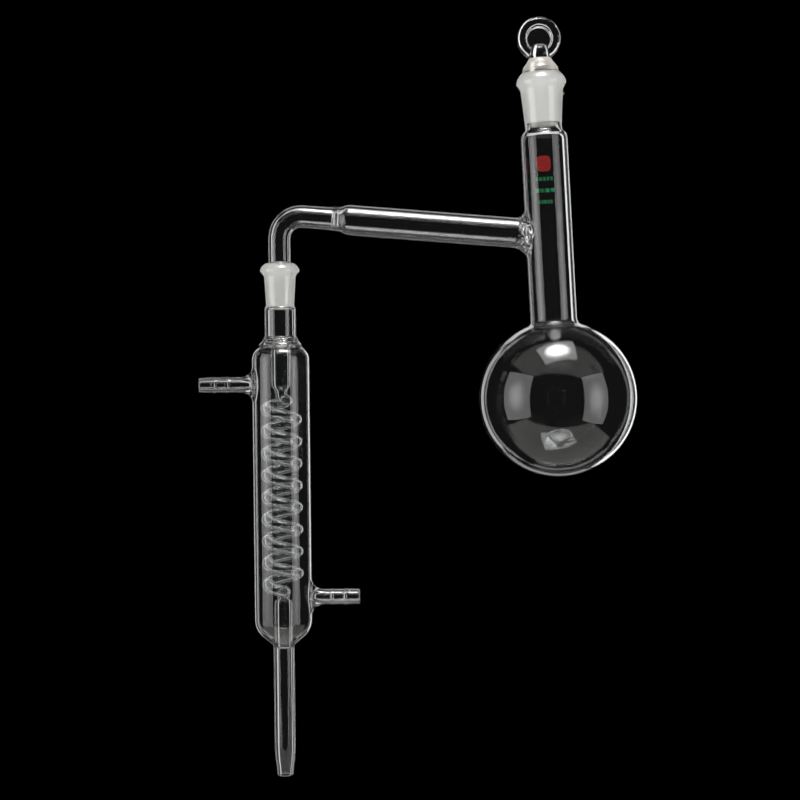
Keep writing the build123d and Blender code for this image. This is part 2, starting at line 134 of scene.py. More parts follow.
soft_box("left_soft_box", (-0.66, -0.34, 0.26), (0.70, 0.95), 5.8, glow=0.9, through=False)
soft_box("right_soft_box", (0.78, -0.51, 0.20), (0.56, 0.95), 4.5, glow=0.9, through=False)
soft_box("left_rim_box", (-0.90, 2.0, 0.14), (0.40, 2.2), 1.6)
soft_box("right_rim_box", (1.03, 2.0, 0.14), (0.40, 2.2), 2.8)
soft_box("upper_rim_box", (0.064, 2.0, 1.20), (1.40, 0.50), 1.3)
soft_box("lower_rim_box", (0.064, 2.0, -0.90), (1.40, 0.45), 0.5)
soft_box("top_soft_box", (0.12, -0.22, 0.95), (0.60, 0.46), 8.0, glow=3.2)
soft_box("low_soft_box", (0.12, -0.42, -0.25), (0.26, 0.12), 1.2, glow=2.0, shape="ELLIPSE")

world = bpy.data.worlds.new("surround")
world.use_nodes = True
sky = world.node_tree
surround = sky.nodes["Background"]
surround.inputs["Color"].default_value = (1, 1, 1, 1)
path_kind = put(sky, "LightPath")
on_matt = put(sky, "Math", {1: 1.0}, operation="MINIMUM")
surround_light = put(sky, "MapRange", {"To Min": surround_on_glass, "To Max": surround_on_matt})
unseen = put(sky, "Math", operation="SUBTRACT", use_clamp=True)
wire(
    sky,
    (path_kind, "Diffuse Depth", on_matt, 0),
    (on_matt, 0, surround_light, "Value"),
    (surround_light, "Result", unseen, 0),
    (path_kind, "Is Camera Ray", unseen, 1),
    (unseen, 0, surround, "Strength"),
)
scene.world = world
scene.view_settings.view_transform = "Standard"
scene.view_settings.exposure = exposure
scene.cycles.max_bounces = 32
scene.cycles.transmission_bounces = 28
scene.cycles.glossy_bounces = 12
scene.cycles.transparent_max_bounces = 48
scene.cycles.sample_clamp_indirect = 4.0
scene.cycles.use_denoising = True


def new_material(name, values):
    """A node material and its Principled shader, with the shader's own inputs set."""
    material = bpy.data.materials.new(name)
    material.use_nodes = True
    shader = material.node_tree.nodes["Principled BSDF"]
    for socket, value in values.items():
        shader.inputs[socket].default_value = value
    return material, material.node_tree, shader


floor_drop, floor_reach, floor_front, floor_back = 0.08, 0.45, 0.34, 0.08
floor_mesh = bpy.data.meshes.new("floor")
floor_corners = [
    (middle.x + side * floor_reach, y, whole_low.z - floor_drop)
    for side, y in ((-1, -floor_front), (1, -floor_front), (1, floor_back), (-1, floor_back))
]
floor_mesh.from_pydata(floor_corners, [], [(0, 1, 2, 3)])
floor = bpy.data.objects.new("floor", floor_mesh)
scene.collection.objects.link(floor)
floor_look = {"Base Color": (0.33, 0.325, 0.315, 1), "Roughness": 0.8}
floor_mesh.materials.append(new_material("floor_paint", floor_look)[0])

# ---- Glass: clear drawn borosilicate, the welds between tubes, and ground joint faces.
# Clear glass has faint draw waves from the lathe; a weld inside one fused piece has no face
# of its own, so it lets everything through; a ground face is matt white from fine grit.
glass_ior = 1.47
wave_and_stria = {"Wave Scale": 70.0, "Stria Scale": 500.0}


def waves_group():
    """Draw waves and fine striae: two noises of different size, added as a height."""
    group = bpy.data.node_groups.new("draw_waves", "ShaderNodeTree")
    for name, value in wave_and_stria.items():
        socket = group.interface.new_socket(name=name, in_out="INPUT", socket_type="NodeSocketFloat")
        socket.default_value = value
    for name in ("Height", "Film"):
        group.interface.new_socket(name=name, in_out="OUTPUT", socket_type="NodeSocketFloat")
    entry, out = group.nodes.new("NodeGroupInput"), group.nodes.new("NodeGroupOutput")
    place = put(group, "TexCoord")
    wave, stria = put(group, "TexNoise", {"Detail": 1.0}), put(group, "TexNoise", {"Detail": 2.0})
    fine = put(group, "Math", {1: 0.03}, operation="MULTIPLY_ADD")
    film = put(group, "MapRange", {"From Min": 0.55, "From Max": 0.8, "To Max": 0.05})
    wire(
        group,
        (place, "Object", wave, "Vector"),
        (place, "Object", stria, "Vector"),
        (entry, "Wave Scale", wave, "Scale"),
        (entry, "Stria Scale", stria, "Scale"),
        (stria, "Fac", fine, 0),
        (wave, "Fac", fine, 2),
        (fine, 0, out, "Height"),
        (stria, "Fac", film, "Value"),
        (film, "Result", out, "Film"),
    )
    return group


def glass(name, values, wave_scale, distance, filmed=True):
    """A glass with the draw waves as a bump and, where filmed, a faint film of roughness."""
    material, tree, shader = new_material(name, {"IOR": glass_ior, **values})
    waves = put(tree, "Group", node_tree=draw_waves)
    waves.inputs["Wave Scale"].default_value = wave_scale
    bump = put(tree, "Bump", {"Strength": 0.5, "Distance": distance})
    wire(tree, (waves, "Height", bump, "Height"), (bump, "Normal", shader, "Normal"))
    if filmed:
        wire(tree, (waves, "Film", shader, "Roughness"))
    return material


def two_tone(tree, *stops):
    """A colour ramp between two stops, each a position and a colour."""
    ramp = put(tree, "ValToRGB")
    for element, (position, colour) in zip(ramp.color_ramp.elements, stops):
        element.position, element.color = position, colour
    return ramp


draw_waves = waves_group()
clear_look = {"Base Color": (0.985, 0.995, 0.99, 1), "Transmission Weight": 1.0}
pressed_look = {"Base Color": (0.98, 0.99, 0.98, 1), "Transmission Weight": 1.0}
satin_look = {"Base Color": (0.90, 0.86, 0.79, 1), "Transmission Weight": 0.86, "Roughness": 0.3}
clear_glass = glass("clear_glass", clear_look, 55.0, 0.00004)
weld = new_material("weld_without_face", {"Alpha": 0.0, "Roughness": 1.0})[0]
ground_look = {"Transmission Weight": 0.12, "IOR": glass_ior}
ground_glass, ground_tree, ground_shader = new_material("ground_glass", ground_look)
grain = put(ground_tree, "TexNoise", {"Scale": 2500.0, "Detail": 3.0})
tint = two_tone(ground_tree, (0.3, (0.90, 0.885, 0.855, 1)), (0.7, (0.97, 0.96, 0.93, 1)))
matt = put(ground_tree, "MapRange", {"To Min": 0.5, "To Max": 0.75})
ground_bump = put(ground_tree, "Bump", {"Strength": 0.4, "Distance": 0.00005})
wire(
    ground_tree,
    (put(ground_tree, "TexCoord"), "Object", grain, "Vector"),
    (grain, "Fac", tint, "Fac"),
    (tint, "Color", ground_shader, "Base Color"),
    (grain, "Fac", matt, "Value"),
    (matt, "Result", ground_shader, "Roughness"),
    (grain, "Fac", ground_bump, "Height"),
    (ground_bump, "Normal", ground_shader, "Normal"),
)
pressed_glass = glass("pressed_glass", pressed_look, 420.0, 0.0005)
satin_glass = glass("satin_glass", satin_look, 260.0, 0.0005, filmed=False)

CLEAR, WELD, GROUND, PRESSED, SATIN = range(5)
GLASSES = (clear_glass, weld, ground_glass, pressed_glass, satin_glass)

# ---- Drip tube: the plain lower end of the condenser, drawn down to a fire-polished tip.
# Like every tube of the set it is turned from its outline, in millimetres, about its own
# axis, and its faces towards the next tube are welds.
COLUMNS = 96
upright = (Vector((0, 0, 0)), Vector((1, 0, 0)), Vector((0, 1, 0)), Vector((0, 0, 1)))


def line(start, end, steps=1):
    """Points evenly spaced from start to end: start plus a growing share of the way."""
    share = np.linspace(0, 1, steps + 1)[:, None]
    return np.array(start) * (1 - share) + np.array(end) * share


def straight(radius, start, end, steps=1):
    """An outline along the axis: one radius at evenly spaced heights."""
    return line((radius, start), (radius, end), steps)


def seam(start, end, height, steps=1):
    """A flat face welded to the next tube, from one radius to another at one height."""
    return line((start, height), (end, height), steps), WELD


def curved(t, points):
    """A cubic curve: the four points weighted by the terms of ((1 - t) + t) cubed."""
    weights = ((1 - t) ** 3, 3 * t * (1 - t) ** 2, 3 * t**2 * (1 - t), t**3)
    return sum(w * p for w, p in zip(weights, points))


def bezier(start, pull_out, pull_in, end, steps=16):
    """A cubic curve in an outline, from start to end with a pull at either end."""
    points = [np.array(p, float) for p in (start, pull_out, pull_in, end)]
    return curved(np.linspace(0, 1, steps + 1)[:, None], points)


def arc(centre, radius, first, last, steps=16):
    """Part of a circle: its centre plus radius times cosine and sine of an even angle."""
    angle = np.radians(np.linspace(first, last, steps + 1))
    return np.array(centre) + radius * np.stack([np.cos(angle), np.sin(angle)], 1)


def chain(*runs):
    """Runs of points end to end, each after the first without its own first point."""
    return np.concatenate([runs[0]] + [run[1:] for run in runs[1:]])


def on_tube(axes, radius, turn, height):
    """The point at an angle and a height on a tube: the axis point at that height, plus
    the radius times the side axis by the cosine and the front axis by the sine."""
    origin, side, front, up = (np.array(v) for v in axes)
    turn, height, radius = np.broadcast_arrays(turn, height, radius)
    out = np.cos(turn)[..., None] * side + np.sin(turn)[..., None] * front
    return origin + MM * (radius[..., None] * out + height[..., None] * up)


def ruled(first, last, steps=1):
    """Rows of points from one loop in space to another, evenly spaced: the first loop
    plus a growing share of the way to the last."""
    share = np.linspace(0, 1, steps + 1)[:, None, None]
    return first[None] * (1 - share) + last[None] * share


all_round = np.linspace(-pi / 2, 3 * pi / 2, COLUMNS + 1)


def turned(outline, axes, turns=all_round):
    """Turns an outline of (radius, height) about an axis: a grid of heights by angles."""
    outline = np.asarray(outline, float)
    return on_tube(axes, outline[:, :1], turns[None], outline[:, 1:])


def lathe(axes, *walls, turns=all_round):
    """Turns several outlines about one axis: each wall is an outline and its glass."""
    return [(turned(outline, axes, turns), kind) for outline, kind in walls]


def quads(grid, skip=None):
    """The faces of a grid of points, row by row, leaving out those marked in skip."""
    rows, cols = grid.shape[:2]
    corner = np.arange(rows * cols).reshape(rows, cols)
    faces = np.stack([corner[:-1, :-1], corner[:-1, 1:], corner[1:, 1:], corner[1:, :-1]], -1)
    return faces[~skip] if skip is not None else faces.reshape(-1, 4)


def joined(name, patches, materials=GLASSES):
    """Joins patches, each a grid of points and a material number, into one closed object."""
    points, faces, kinds, start = [], [], [], 0
    for grid, kind, *skip in patches:
        some = quads(grid, *skip)
        points.append(grid.reshape(-1, 3))
        faces.append(some + start)
        kinds.append(np.full(len(some), kind))
        start += grid.shape[0] * grid.shape[1]
    mesh = bpy.data.meshes.new(name)
    mesh.from_pydata(np.concatenate(points), [], np.concatenate(faces).tolist())
    for material in materials:
        mesh.materials.append(material)
    mesh.polygons.foreach_set("material_index", np.concatenate(kinds).astype(np.int32))
    shape = bmesh.new()
    shape.from_mesh(mesh)
    bmesh.ops.remove_doubles(shape, verts=shape.verts, dist=2e-6)
    bmesh.ops.recalc_face_normals(shape, faces=shape.faces)
    shape.to_mesh(mesh)
    shape.free()
    mesh.shade_smooth()
    mesh.set_sharp_from_angle(angle=radians(40))
    piece = bpy.data.objects.new(name, mesh)
    scene.collection.objects.link(piece)
    return piece


def settle(piece, node, body):
    """Lets a piece ride on a body and stand for a CAD node, whose own mesh is hidden."""
    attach(piece, body)
    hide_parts(node)


def blow(node, patches, body):
    """Makes one closed glass piece that stands for a CAD node and is named after it."""
    settle(joined(node + "_glass", patches), node, body)


def node_heights(node):
    """The lowest and highest height of an upright CAD node, in millimetres."""
    low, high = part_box(node)
    return low[2] / MM, high[2] / MM


drip_od, drip_wall, tip_od, tip_wall, tip_length = 11.3, 1.5, 8.7, 1.3, 14.0
drip_low, drip_high = node_heights("drip_tube")
drip_r, drip_bore = drip_od / 2, drip_od / 2 - drip_wall
tip_r, tip_bore = tip_od / 2, tip_od / 2 - tip_wall
polish = tip_wall / 2
tip_shoulder, tip_end = drip_low + tip_length + 3, drip_low + polish
pull_low, pull_high = drip_low + 6, drip_low + 8
drip_outside = chain(
    bezier((tip_r, tip_end), (tip_r, pull_low), (drip_r, pull_high), (drip_r, tip_shoulder)),
    straight(drip_r, tip_shoulder, drip_high, 12),
)
drip_inside = chain(
    straight(drip_bore, drip_high, tip_shoulder, 12),
    bezier((drip_bore, tip_shoulder), (drip_bore, pull_high), (tip_bore, pull_low), (tip_bore, tip_end)),
)
drip_walls = lathe(
    upright,
    (arc((tip_r - polish, tip_end), polish, 180, 360), CLEAR),
    (drip_outside, CLEAR),
    seam(drip_r, drip_bore, drip_high),
    (drip_inside, CLEAR),
)
blow("drip_tube", drip_walls, "condenser")

# ---- Lower ring seal: the thickened ring where drip tube, drain tube and jacket are fused.
# It is glass that has flowed together in the flame, so its outside is a soft hollow curve.
lower_seal_r, drain_od, drain_wall = 6.15, 9.8, 1.4
drain_r, drain_bore = drain_od / 2, drain_od / 2 - drain_wall
seal_low, foot_z = node_heights("lower_ring_seal")
seal_pulls = ((drip_r, seal_low + 1.2), (lower_seal_r - 0.3, foot_z - 0.6))
seal_outside = bezier((drip_r, seal_low), *seal_pulls, (lower_seal_r, foot_z), 8)
seal_walls = lathe(
    upright,
    seam(drip_bore, drip_r, seal_low),
    (seal_outside, CLEAR),
    seam(lower_seal_r, drain_bore, foot_z, 2),
    (line((drain_bore, foot_z), (drip_bore, seal_low), 4), CLEAR),
)
blow("lower_ring_seal", seal_walls, "condenser")

# ---- Jacket: the water jacket, a plain tube drawn to a cone below and a round shoulder above.
# Two side ports are blown through its wall, where the hose connectors are fused on.
jacket_od, jacket_wall, shoulder_radius, shoulder_turn = 31.1, 1.2, 8.0, 69.0
cone_angle, bowl_radius, port_rows = 40.0, 11.5, 10
hose_od, hose_groove_od, hose_root_od, hose_bore, hose_flare = 8.9, 7.7, 8.2, 5.0, 4.8
hose_port_columns, hose_port_height = 11, 12.0
jacket_r, jacket_bore = jacket_od / 2, jacket_od / 2 - jacket_wall
foot_low, jacket_top = node_heights("jacket")
shoulder_inner = shoulder_radius - jacket_wall
shoulder_in = jacket_r - shoulder_radius
corner_z = foot_low + (jacket_r - lower_seal_r) * tan(radians(cone_angle))
bowl_inner = bowl_radius - jacket_wall
shoulder_z = jacket_top - shoulder_radius * sin(radians(shoulder_turn))
mouth_r = shoulder_in + shoulder_radius * cos(radians(shoulder_turn))
under_r = shoulder_in + shoulder_inner * cos(radians(shoulder_turn))
under_z = shoulder_z + shoulder_inner * sin(radians(shoulder_turn))
inner_corner_z = corner_z + jacket_wall * tan(radians(90 - cone_angle) / 2)
inner_foot_z = inner_corner_z - (jacket_bore - drain_r) * tan(radians(cone_angle))
inner_tangent = bowl_inner * tan(radians(90 - cone_angle) / 2)
straight_low = corner_z + bowl_radius * tan(radians(90 - cone_angle) / 2)


def edge_of(radius, hole_r, turn, tilt=0.0):
    """Where a side tube of radius hole_r, tilted upwards, meets a tube: the angle is the
    arcsine of its width over the radius, the height follows along the tilted axis."""
    width, rise = hole_r * np.cos(turn), hole_r * np.sin(turn)
    depth = (np.sqrt(radius**2 - width**2) + rise * sin(tilt)) / cos(tilt)
    return np.stack([np.arcsin(width / radius), depth * sin(tilt) + rise * cos(tilt)], -1)


def ported_wall(axes, radius, low, high, ports):
    """A straight tube wall with a rectangular block left out of its grid at each port.
    A port is its angle, height, half width in columns and half height. Returns the wall
    patch and each block's border, as angles and heights in order round it."""
    step = 2 * pi / COLUMNS
    heights = [low]
    for _, middle_h, _, half_h in sorted(ports, key=lambda port: port[1]):
        heights += list(np.linspace(heights[-1], middle_h - half_h, 5)[1:])
        heights += list(np.linspace(middle_h - half_h, middle_h + half_h, 2 * port_rows + 1)[1:])
    heights = np.array(heights + list(np.linspace(heights[-1], high, 5)[1:]))
    face_h = ((heights[1:] + heights[:-1]) / 2)[:, None]
    face_turn = ((all_round[1:] + all_round[:-1]) / 2)[None]
    skip = np.zeros((len(heights) - 1, COLUMNS), bool)
    borders = []
    for port_turn, middle_h, half_columns, half_h in ports:
        skip |= (abs(face_turn - port_turn) < half_columns * step) & (abs(face_h - middle_h) < half_h)
        across = np.arange(-half_columns, half_columns + 1) * step
        tall = np.linspace(-half_h, half_h, 2 * port_rows + 1)
        across_end, tall_end = np.full(len(tall), across[-1]), np.full(len(across), half_h)
        borders.append(chain(
            np.stack([across_end, tall], 1),
            np.stack([across[::-1], tall_end], 1),
            np.stack([-across_end, tall[::-1]], 1),
            np.stack([across, -tall_end], 1),
        ))
    wall = turned(np.stack([np.full(len(heights), radius), heights], 1), axes)
    return (wall, CLEAR, skip), borders


def at_port(axes, radius, port, loops):
    """Puts angles and heights, counted from a port's middle, on the tube's wall."""
    return on_tube(axes, radius, loops[..., 0] + port[0], loops[..., 1] + port[1])


def between(axes, radius, port, first, last, steps):
    """The wall round a port, between two loops of angles and heights on it: each row is
    a growing share of the way from the first loop to the last."""
    return at_port(axes, radius, port, ruled(first, last, steps))


def round_port(border, radius):
    """The angle round a port at which each point of its block's border lies."""
    return np.unwrap(np.arctan2(border[:, 1], border[:, 0] * radius))


def footprint(turn, half_turn, half_h):
    """The oval that a flared root covers on a tube, as angles and heights."""
    return np.stack([half_turn * np.cos(turn), half_h * np.sin(turn)], -1)


hose_nodes, hose_ports = ("inlet_connector", "outlet_connector"), []
for node, port_turn in zip(hose_nodes, (0.0, pi)):
    hose_ports.append((port_turn, sum(node_heights(node)) / 2, hose_port_columns, hose_port_height))
hose_ball = sqrt((jacket_r + hose_flare) ** 2 - (hose_root_od / 2 + hose_flare) ** 2)
hose_half_turn = atan2(hose_root_od / 2 + hose_flare, hose_ball)
hose_half_h = hose_root_od / 2 + hose_flare + 0.9
inner_end = (jacket_bore, inner_corner_z + inner_tangent)
jacket_corner = arc((jacket_r - bowl_radius, straight_low), bowl_radius, cone_angle - 90, 0, 14)
inner_round = arc((jacket_bore - bowl_inner, inner_end[1]), bowl_inner, 0, cone_angle - 90, 14)
outer_wall, outer_borders = ported_wall(upright, jacket_r, straight_low, shoulder_z, hose_ports)
inner_wall, inner_borders = ported_wall(upright, jacket_bore, inner_end[1], shoulder_z, hose_ports)
cone_and_bowl = chain(line((lower_seal_r, foot_low), jacket_corner[0], 8), jacket_corner)
inner_bowl = chain(inner_round, line(inner_round[-1], (drain_r, inner_foot_z), 8))
jacket_patches = [
    *lathe(upright, (cone_and_bowl, CLEAR)),
    outer_wall,
    *lathe(
        upright,
        (arc((shoulder_in, shoulder_z), shoulder_radius, 0, shoulder_turn, 20), CLEAR),
        (line((mouth_r, jacket_top), (under_r, under_z)), WELD),
        (arc((shoulder_in, shoulder_z), shoulder_inner, shoulder_turn, 0, 20), CLEAR),
    ),
    inner_wall,
    *lathe(
        upright,
        (inner_bowl, CLEAR),
        (straight(drain_r, inner_foot_z, foot_low), WELD),
        seam(drain_r, lower_seal_r, foot_low),
    ),
]
hose_roots = []
for port, border, inner_border in zip(hose_ports, outer_borders, inner_borders):
    turn = round_port(border, jacket_r)
    root = footprint(turn, hose_half_turn, hose_half_h)
    hole = edge_of(jacket_r, hose_bore / 2, turn)
    hole_inside = edge_of(jacket_bore, hose_bore / 2, turn)
    hole_rim = at_port(upright, jacket_r, port, hole)
    hose_weld = (between(upright, jacket_r, port, root, hole, 6), WELD)
    hose_roots.append((port, turn, root, hole_rim, hose_weld))
    jacket_patches += [
        (between(upright, jacket_r, port, border, root, 6), CLEAR),
        hose_weld,
        (ruled(hole_rim, at_port(upright, jacket_bore, port, hole_inside), 2), CLEAR),
        (between(upright, jacket_bore, port, inner_border, hole_inside, 10), CLEAR),
    ]
blow("jacket", jacket_patches, "condenser")

# ---- Hose connectors: two-tooth barbs pulled from thick tube, their roots flared in the
# flame and fused over the ports. Water goes in low on the right and out high on the left.
hose_tooth, hose_land, hose_back, flare_length, mouth_round = 7.2, 1.0, 0.6, 6.8, 0.6


def barb_outline(start, end):
    """A barb from its flare to its open end, as (radius, distance from the jacket's axis):
    two teeth that rise steeply, run level for a land and fall away in a long taper."""
    tooth, groove, root = hose_od / 2, hose_groove_od / 2, hose_root_od / 2
    runs, low = [], (root, start)
    for tooth_end in (end - 2 * hose_tooth, end - hose_tooth):
        step = tooth_end - hose_land - hose_back
        fall_end = (tooth - 0.3, tooth_end + 0.5)
        runs += [
            line(low, (low[0] if low[0] < root else root - 0.2, step), 4),
            line((groove - 0.1, step + 0.1), (tooth, step + hose_back), 2),
            straight(tooth, step + hose_back, tooth_end, 2),
            line((tooth, tooth_end), fall_end, 1),
        ]
        low = fall_end
    return chain(*runs, line(low, (groove, end - mouth_round), 4))


def lip(outside, bore, height, proud, steps=10):
    """A rounded tube end: half an ellipse from the outside wall over to the bore."""
    angle = np.linspace(0, pi, steps + 1)
    radius = (outside + bore) / 2 + (outside - bore) / 2 * np.cos(angle)
    return np.stack([radius, height + proud * np.sin(angle)], 1)


def flared(axes, radius, port, root, rim, reach, steps=12, lump=0.0):
    """A flared root: for each angle round the port a cubic curve leaves the wall along it,
    towards the port, and ends along the side tube, so the root is tangent to both. Lumps
    stand on it as sine by angle times sine along the curve, nothing at either end."""
    foot = at_port(axes, radius, port, root)
    inward = at_port(axes, radius, port, root * 0.9) - foot
    inward /= np.linalg.norm(inward, axis=1)[:, None]
    gap = np.linalg.norm(rim - foot, axis=1)[:, None]
    out = np.array(reach) * gap
    t = np.linspace(0, 1, steps + 1)[:, None, None]
    bend = curved(t, [p[None] for p in (foot, foot + inward * gap * 0.4, rim - out * 0.4, rim)])
    round_it = np.linspace(0, 2 * pi, len(rim))[None, :, None]
    away = rim - rim[:-1].mean(axis=0)
    away = MM * away / np.linalg.norm(away, axis=1)[:, None]
    return bend + lump * np.sin(11 * round_it) * np.sin(4 * pi * t) * np.sin(pi * t) * away[None]


flare_end = jacket_r + flare_length
for node, (port, turn, root, hole_rim, hose_weld) in zip(hose_nodes, hose_roots):
    low_corner, high_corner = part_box(node)
    side = 1.0 if port[0] == 0.0 else -1.0
    hose_end = max(abs(low_corner[0]), abs(high_corner[0])) / MM
    along = Vector((side, 0, 0))
    hose_axes = (Vector((0, 0, port[1] * MM)), Vector((0, side, 0)), Vector((0, 0, 1)), along)
    hose_mouth = lip(hose_groove_od / 2, hose_bore / 2, hose_end - mouth_round, mouth_round)
    rim = turned([(hose_root_od / 2, flare_end)], hose_axes, turn)[0]
    mouth_rim = turned([(hose_bore / 2, hose_end - mouth_round)], hose_axes, turn)[0]
    hose_patches = [
        (flared(upright, jacket_r, port, root, rim, along), CLEAR),
        *lathe(hose_axes, (chain(barb_outline(flare_end, hose_end), hose_mouth), CLEAR), turns=turn),
        (ruled(mouth_rim, hole_rim, 8), CLEAR),
        hose_weld,
    ]
    blow(node, hose_patches, "condenser")

# ---- Upper ring seal: the collar where jacket, top tube and vapour tube are fused in one.
# The flame leaves two or three soft rolls in the glass and a ring that stands proud.
top_tube_od, top_wall, collar_overhang, seal_groove = 16.9, 1.6, 1.4, 2.7
vapour_od, vapour_wall, vapour_taper = 10.8, 1.4, 5.9
top_r, top_bore = top_tube_od / 2, top_tube_od / 2 - top_wall
vapour_r, vapour_bore = vapour_od / 2, vapour_od / 2 - vapour_wall
collar_top = node_heights("upper_ring_seal")[1]
ring_r = mouth_r + collar_overhang
roll_one, roll_two = (top_r + 0.5, collar_top - 0.9), (top_r + 1.15, collar_top - 1.9)
ring_pulls = ((top_r + 1.2, collar_top - 2.7), (ring_r - 0.8, jacket_top + 1.9))
collar_outside = chain(
    bezier((top_r, collar_top), (top_r, collar_top - 0.5), (top_r + 0.55, collar_top - 0.3), roll_one, 8),
    bezier(roll_one, (top_r + 0.45, collar_top - 1.4), (top_r + 1.1, collar_top - 1.3), roll_two, 8),
    bezier(roll_two, *ring_pulls, (ring_r, jacket_top + 0.45), 10),
    arc((ring_r - 0.3, jacket_top + 0.3), 0.3, 20, -70, 5),
    line((ring_r - 0.2, jacket_top), (mouth_r, jacket_top), 2),
)
groove_top = ((vapour_r + under_r) / 2, under_z + seal_groove)
groove_out, groove_in = (groove_top[0] + 1, groove_top[1]), (groove_top[0] - 1, groove_top[1])
groove = chain(
    bezier((under_r, under_z), (under_r - 0.4, under_z + 2), groove_out, groove_top, 8),
    bezier(groove_top, groove_in, (vapour_r, under_z + 2), (vapour_r, under_z), 8),
)
bore_pulls = ((vapour_bore, under_z + 2), (top_bore, collar_top - 3))
collar_bore = bezier((vapour_bore, under_z), *bore_pulls, (top_bore, collar_top), 10)
collar_walls = lathe(
    upright,
    (collar_outside, CLEAR),
    (line((mouth_r, jacket_top), (under_r, under_z)), WELD),
    (groove, CLEAR),
    seam(vapour_r, vapour_bore, under_z),
    (collar_bore, CLEAR),
    seam(top_bore, top_r, collar_top),
)
blow("upper_ring_seal", collar_walls, "condenser")

# ---- Top tube: the plain tube between the upper ring seal and the condenser's socket.
# It is cut from the same drawn tube as the socket above it.
socket_foot = node_heights("top_tube")[1]


def plain_tube(axes, outside, bore, low, high, steps=8):
    """A straight tube with a weld at both ends: outside wall, end, bore and other end."""
    return lathe(
        axes,
        (straight(outside, low, high, steps), CLEAR),
        seam(outside, bore, high),
        (straight(bore, high, low, steps), CLEAR),
        seam(bore, outside, low),
    )


blow("top_tube", plain_tube(upright, top_r, top_bore, collar_top, socket_foot), "condenser")

# ---- Condenser socket: a ground socket blown from the top tube, with a bead at its mouth.
# Its bore is ground to the standard 1 in 10 taper against a cone with grit, so it is matt.
ground_taper, mouth_lip, mouth_flare = 0.1, 0.9, 0.2
small_joint_od, small_joint_length, small_shoulder, small_throat = 14.5, 23.0, 3.0, 1.2
small_walls, small_rim_proud, small_rim_height = (1.4, 1.55), 2.25, 7.3


def socket_walls(axes, foot, shoulder, throat, joint_od, length, walls, rim_proud, rim_height):
    """A ground socket: foot is its tube's height, radius and bore, and walls are its wall
    at the narrow end and under the bead. Its outside is a shoulder curve, a taper and a
    round bead; its bore is a short flare, the ground taper and a throat curve."""
    foot_h, foot_r, foot_b = foot
    low, narrow = foot_h + throat, joint_od / 2 - ground_taper / 2 * length
    high = low + length
    mouth, mouth_b = high + mouth_lip, joint_od / 2 + mouth_flare
    neck_h, rim_low = foot_h + shoulder, mouth - rim_height
    neck_out = narrow + ground_taper / 2 * (neck_h - low) + walls[0]
    rim_out = narrow + ground_taper / 2 * (rim_low - low) + walls[1]
    lip_r = mouth_b + walls[1] * 0.35
    wide_r, wide_h = rim_out + rim_proud, rim_low + rim_height * 0.45
    bead_foot = ((rim_out + 0.1, rim_low + rim_height * 0.2), (wide_r, wide_h - rim_height * 0.22))
    bead_top = ((wide_r, wide_h + rim_height * 0.2), (lip_r + 1.1, mouth - rim_height * 0.12))
    shoulder_pulls = ((foot_r, foot_h + shoulder * 0.7), (neck_out, foot_h + shoulder * 0.4))
    outside = chain(
        bezier((foot_r, foot_h), *shoulder_pulls, (neck_out, neck_h)),
        line((neck_out, neck_h), (rim_out, rim_low), 10),
        bezier((rim_out, rim_low), *bead_foot, (wide_r, wide_h), 12),
        bezier((wide_r, wide_h), *bead_top, (lip_r, mouth - 0.12), 12),
    )
    turn = min(throat, shoulder)
    throat_pulls = ((narrow, foot_h + turn * 0.4), (foot_b, foot_h + turn * 0.5))
    lip_pulls = ((lip_r - 0.15, mouth + 0.02), (mouth_b + 0.1, mouth))
    return lathe(
        axes,
        (outside, CLEAR),
        (bezier((lip_r, mouth - 0.12), *lip_pulls, (mouth_b, mouth - 0.1), 6), CLEAR),
        (line((mouth_b, mouth - 0.1), (joint_od / 2, high), 2), GROUND),
        (line((joint_od / 2, high), (narrow, low), 24), GROUND),
        (bezier((narrow, low), *throat_pulls, (foot_b, foot_h)), CLEAR),
        seam(foot_b, foot_r, foot_h),
    )


small_socket = socket_walls(
    upright, (socket_foot, top_r, top_bore), small_shoulder, small_throat,
    small_joint_od, small_joint_length, small_walls, small_rim_proud, small_rim_height,
)
blow("condenser_socket", small_socket, "condenser")

# ---- Vapour tube, coil and drain tube: one tube inside the jacket, from ring seal to ring
# seal. The coil is wound hot on a mandrel; each end curls in to the condenser's axis.
coil_tube_od, coil_wall, coil_clearance, coil_pitch, coil_start = 6.5, 1.2, 3.15, 11.9, 100.0
coil_bend_gap, drain_shoulder_h, coil_steps, curl_steps = 0.25, 3.0, 600, 25
coil_r, coil_bore = coil_tube_od / 2, coil_tube_od / 2 - coil_wall
coil_top = node_heights("vapour_tube")[0]
coil_foot = node_heights("drain_tube")[1]
taper_top = coil_top + vapour_taper
drain_shoulder = coil_foot - drain_shoulder_h


def taper(first, last, steps=10):
    """A drawn-down part: an S-curve between two (radius, height) points, upright at both."""
    middle_h = (first[1] + last[1]) / 2
    return bezier(first, (first[0], middle_h), (last[0], middle_h), last, steps)


